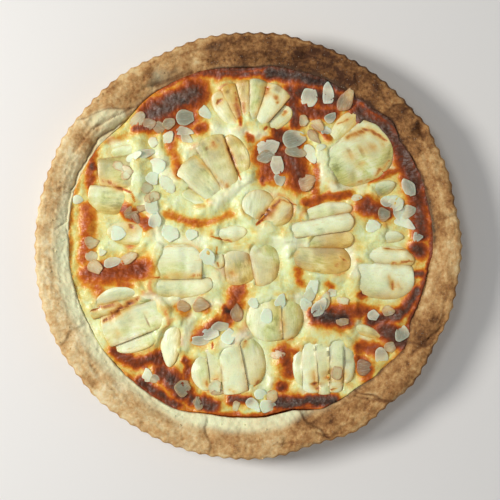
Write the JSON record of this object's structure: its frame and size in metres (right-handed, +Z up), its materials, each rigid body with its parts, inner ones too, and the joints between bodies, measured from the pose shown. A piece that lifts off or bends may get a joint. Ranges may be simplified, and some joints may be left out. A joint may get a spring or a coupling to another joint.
{
  "type": "pear and almond tart",
  "caption": "Whole round tart in a fluted pastry case, with the collar folded in over baked custard, fanned pear slices and flaked almonds.",
  "frame": {"origin": "middle of the flat underside of the pastry case, halfway across its widest outline", "axes": "+Z up from the underside through the filling; +X and +Y across the tart, with the fan of six pear slices towards +Y"},
  "size_m": [0.2801, 0.28, 0.0319],
  "materials": {
    "pastry": "baked shortcrust, matt and mealy",
    "custard": "baked custard, soft sheen, browned in patches",
    "pear_flesh": "moist cooked pear, soft sheen"
  },
  "bodies": {
    "root": {"crust": "pastry", "custard": "custard", "pear_centre_1": "pear_flesh", "pear_centre_2": "pear_flesh", "pear_centre_3": "pear_flesh", "pear_centre_right_1": "pear_flesh", "pear_centre_right_2": "pear_flesh", "pear_centre_right_3": "pear_flesh", "pear_centre_right_4": "pear_flesh", "pear_centre_top_1": "pear_flesh", "pear_centre_top_2": "pear_flesh", "pear_centre_upper_1": "pear_flesh", "pear_east_1": "pear_flesh", "pear_east_2": "pear_flesh", "pear_east_chip_1": "pear_flesh", "pear_east_sliver_1": "pear_flesh", "pear_north_1": "pear_flesh", "pear_north_2": "pear_flesh", "pear_north_3": "pear_flesh", "pear_north_4": "pear_flesh", "pear_north_5": "pear_flesh", "pear_north_6": "pear_flesh", "pear_north_east_1": "pear_flesh", "pear_north_east_2": "pear_flesh", "pear_north_west_1": "pear_flesh", "pear_north_west_2": "pear_flesh", "pear_north_west_3": "pear_flesh", "pear_south_1": "pear_flesh", "pear_south_2": "pear_flesh", "pear_south_3": "pear_flesh", "pear_south_4": "pear_flesh", "pear_south_east_1": "pear_flesh", "pear_south_east_2": "pear_flesh", "pear_south_east_3": "pear_flesh", "pear_south_east_4": "pear_flesh", "pear_south_east_5": "pear_flesh", "pear_south_east_sliver_1": "pear_flesh", "pear_south_pair_1": "pear_flesh", "pear_south_pair_2": "pear_flesh", "pear_south_west_1": "pear_flesh", "pear_south_west_2": "pear_flesh", "pear_south_west_3": "pear_flesh", "pear_south_west_4": "pear_flesh", "pear_south_west_upright_1": "pear_flesh", "pear_upper_left_1": "pear_flesh", "pear_upper_left_2": "pear_flesh", "pear_upper_left_3": "pear_flesh", "pear_upper_left_4": "pear_flesh", "pear_west_1": "pear_flesh", "pear_west_block_1": "pear_flesh", "pear_west_block_2": "pear_flesh"}
  },
  "joints": []
}
